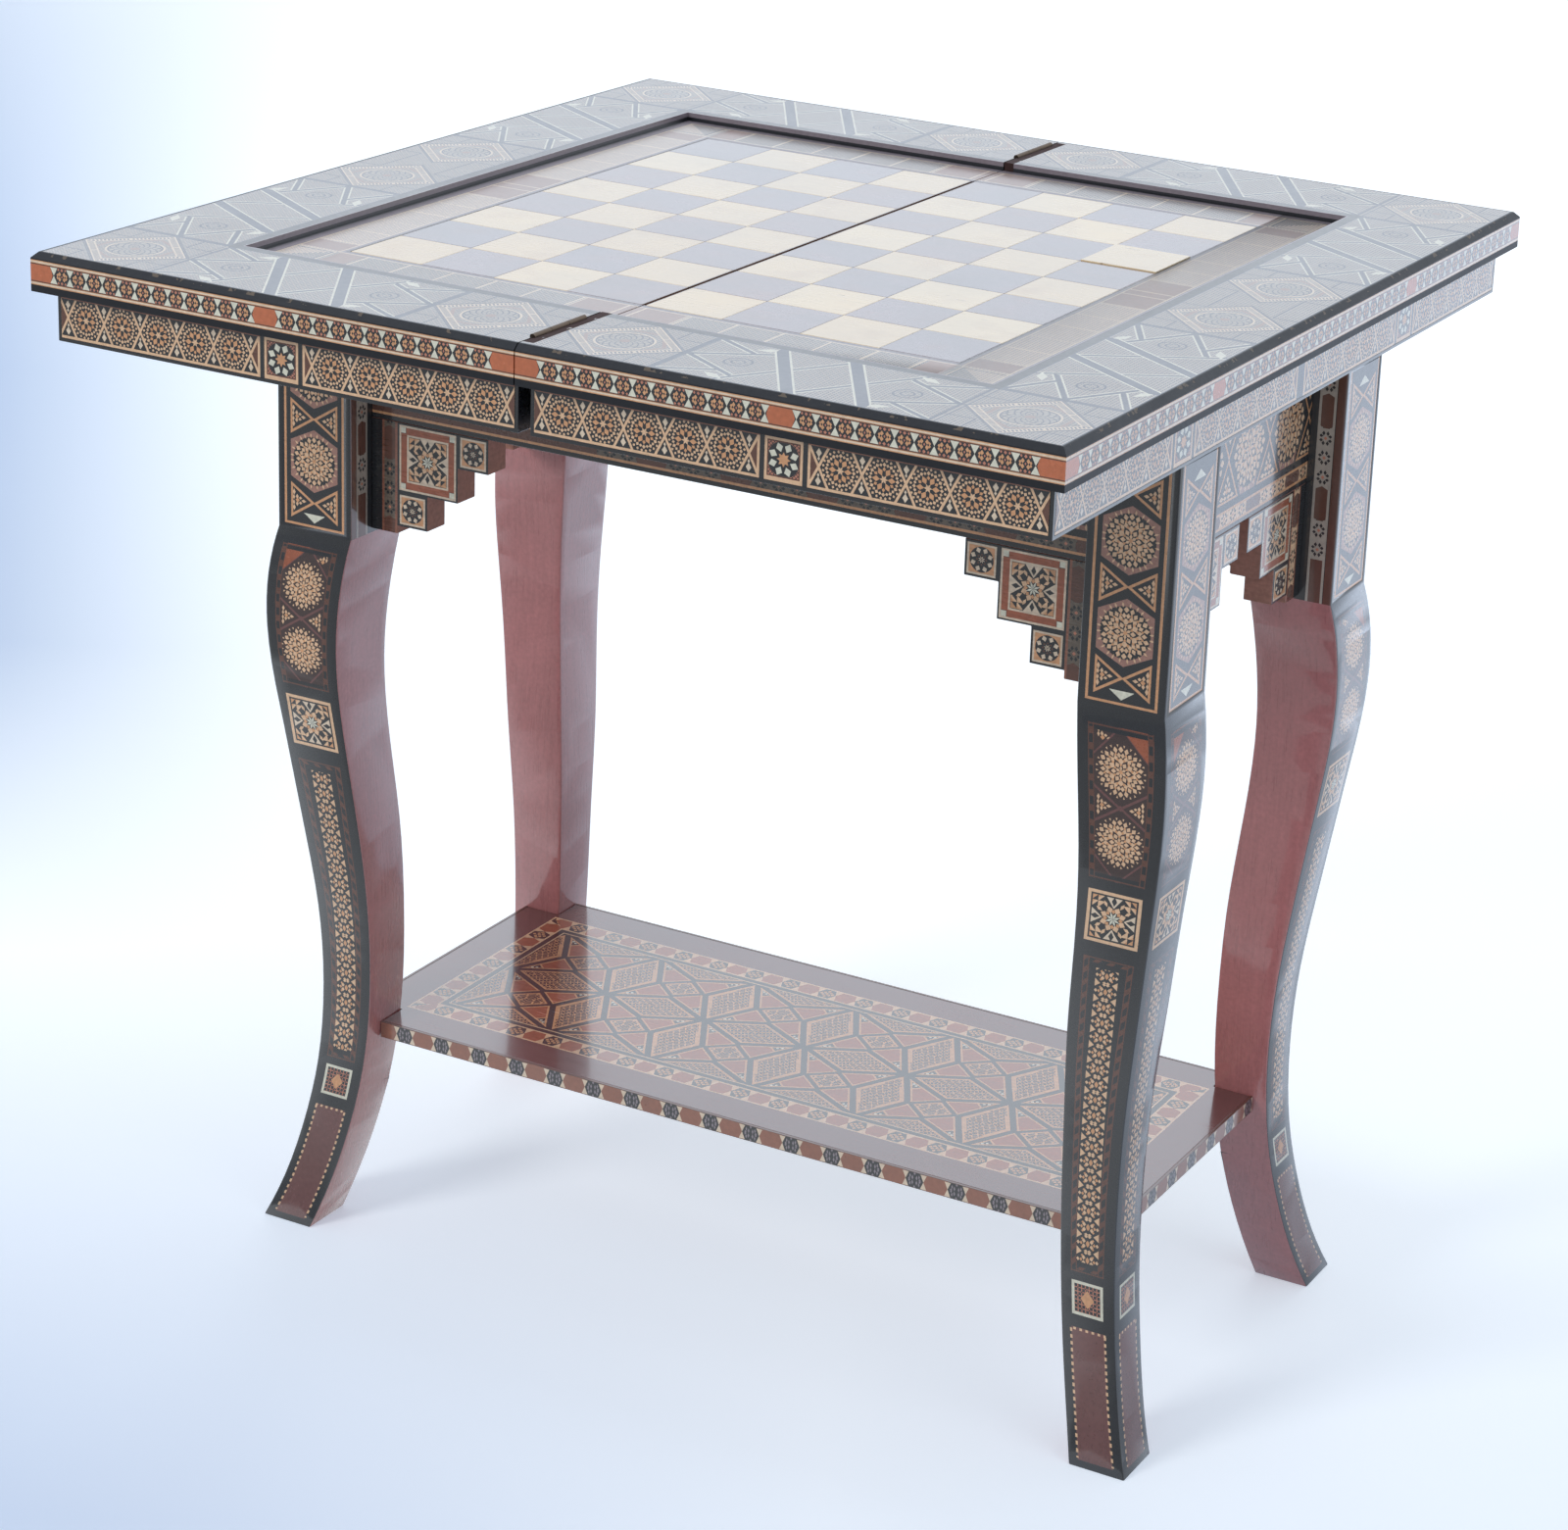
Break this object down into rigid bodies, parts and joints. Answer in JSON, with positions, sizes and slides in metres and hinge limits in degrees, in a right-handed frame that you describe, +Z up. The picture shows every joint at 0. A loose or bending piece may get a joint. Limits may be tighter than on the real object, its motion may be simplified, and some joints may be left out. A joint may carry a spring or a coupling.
{
  "type": "folding game table",
  "caption": "Inlaid folding game table, shown open to a chessboard: hinged double top that swivels on a base with cabriole legs, stepped brackets, storage well and low shelf.",
  "frame": {"origin": "on the floor under the middle of the opened top, in the plane of the seam between the leaves; the base's middle is 10 mm to +X of it", "axes": "+X along the base's long side towards the fixed leaf, +Y to the back, +Z up"},
  "size_m": [0.77, 0.77, 0.7952],
  "materials": {
    "leg_wood": "reddish brown wood, ebonised and inlaid on the outer faces, gloss lacquer",
    "star_marquetry": "star mosaic of dark, red and cream woods, gloss lacquer",
    "apron_marquetry": "dark wood with light stringing and a hexagon mosaic, gloss lacquer",
    "shelf_marquetry": "reddish wood with a field of lozenge marquetry, gloss lacquer",
    "frame_marquetry": "geometric marquetry in grey-brown woods with cream lines, gloss lacquer",
    "ebonised_wood": "black stained wood, gloss lacquer",
    "bone": "polished cream bone plates",
    "dark_squares": "dark grey-brown wood plates, gloss lacquer",
    "carcass_wood": "plain brown wood, thin varnish",
    "hinge_brass": "tarnished brass",
    "swivel_steel": "plain steel"
  },
  "bodies": {
    "base": {"leg_front_left": "leg_wood", "leg_front_right": "leg_wood", "leg_back_left": "leg_wood", "leg_back_right": "leg_wood", "leg_panels": "star_marquetry", "apron_front": "apron_marquetry", "apron_back": "apron_marquetry", "apron_left": "apron_marquetry", "apron_right": "apron_marquetry", "bracket_front_left": "star_marquetry", "bracket_front_right": "star_marquetry", "bracket_back_left": "star_marquetry", "bracket_back_right": "star_marquetry", "bracket_left_front": "star_marquetry", "bracket_left_back": "star_marquetry", "bracket_right_front": "star_marquetry", "bracket_right_back": "star_marquetry", "shelf": "shelf_marquetry", "shelf_edging": "star_marquetry", "storage_board": "carcass_wood", "storage_cleats": "carcass_wood", "pivot_rail": "carcass_wood", "swivel_plate": "swivel_steel"},
    "fixed_leaf": {"fixed_rail_front": "frame_marquetry", "fixed_rail_back": "frame_marquetry", "fixed_rail_outer": "frame_marquetry", "fixed_box_front": "ebonised_wood", "fixed_box_back": "ebonised_wood", "fixed_box_outer": "ebonised_wood", "fixed_box_inner": "ebonised_wood", "fixed_bottom": "carcass_wood", "fixed_panel": "carcass_wood", "fixed_bearers": "carcass_wood", "fixed_light_squares": "bone", "fixed_dark_squares": "dark_squares", "fixed_border": "star_marquetry", "fixed_hinge_plates": "hinge_brass", "fixed_hinge_screws": "hinge_brass", "fixed_edge_inlay": "star_marquetry", "pivot_bolt": "swivel_steel", "pivot_nut": "swivel_steel", "stop_pin": "swivel_steel", "pivot_block": "carcass_wood", "hinge_pins": "hinge_brass"},
    "folding_leaf": {"folding_rail_front": "frame_marquetry", "folding_rail_back": "frame_marquetry", "folding_rail_outer": "frame_marquetry", "folding_box_front": "ebonised_wood", "folding_box_back": "ebonised_wood", "folding_box_outer": "ebonised_wood", "folding_box_inner": "ebonised_wood", "folding_bottom": "carcass_wood", "folding_panel": "carcass_wood", "folding_bearers": "carcass_wood", "folding_light_squares": "bone", "folding_dark_squares": "dark_squares", "folding_border": "star_marquetry", "folding_hinge_plates": "hinge_brass", "folding_hinge_screws": "hinge_brass", "folding_edge_inlay": "star_marquetry"}
  },
  "joints": [
    {"name": "swivel", "type": "hinge", "parent": "base", "child": "fixed_leaf", "pos_m": [0.10125, 0.09125, 0.731], "axis": [0, 0, 1], "range_deg": [-90, 0]},
    {"name": "fold", "type": "hinge", "parent": "fixed_leaf", "child": "folding_leaf", "pos_m": [0, 0, 0.79325], "axis": [0, 1, 0], "range_deg": [0, 180]}
  ]
}
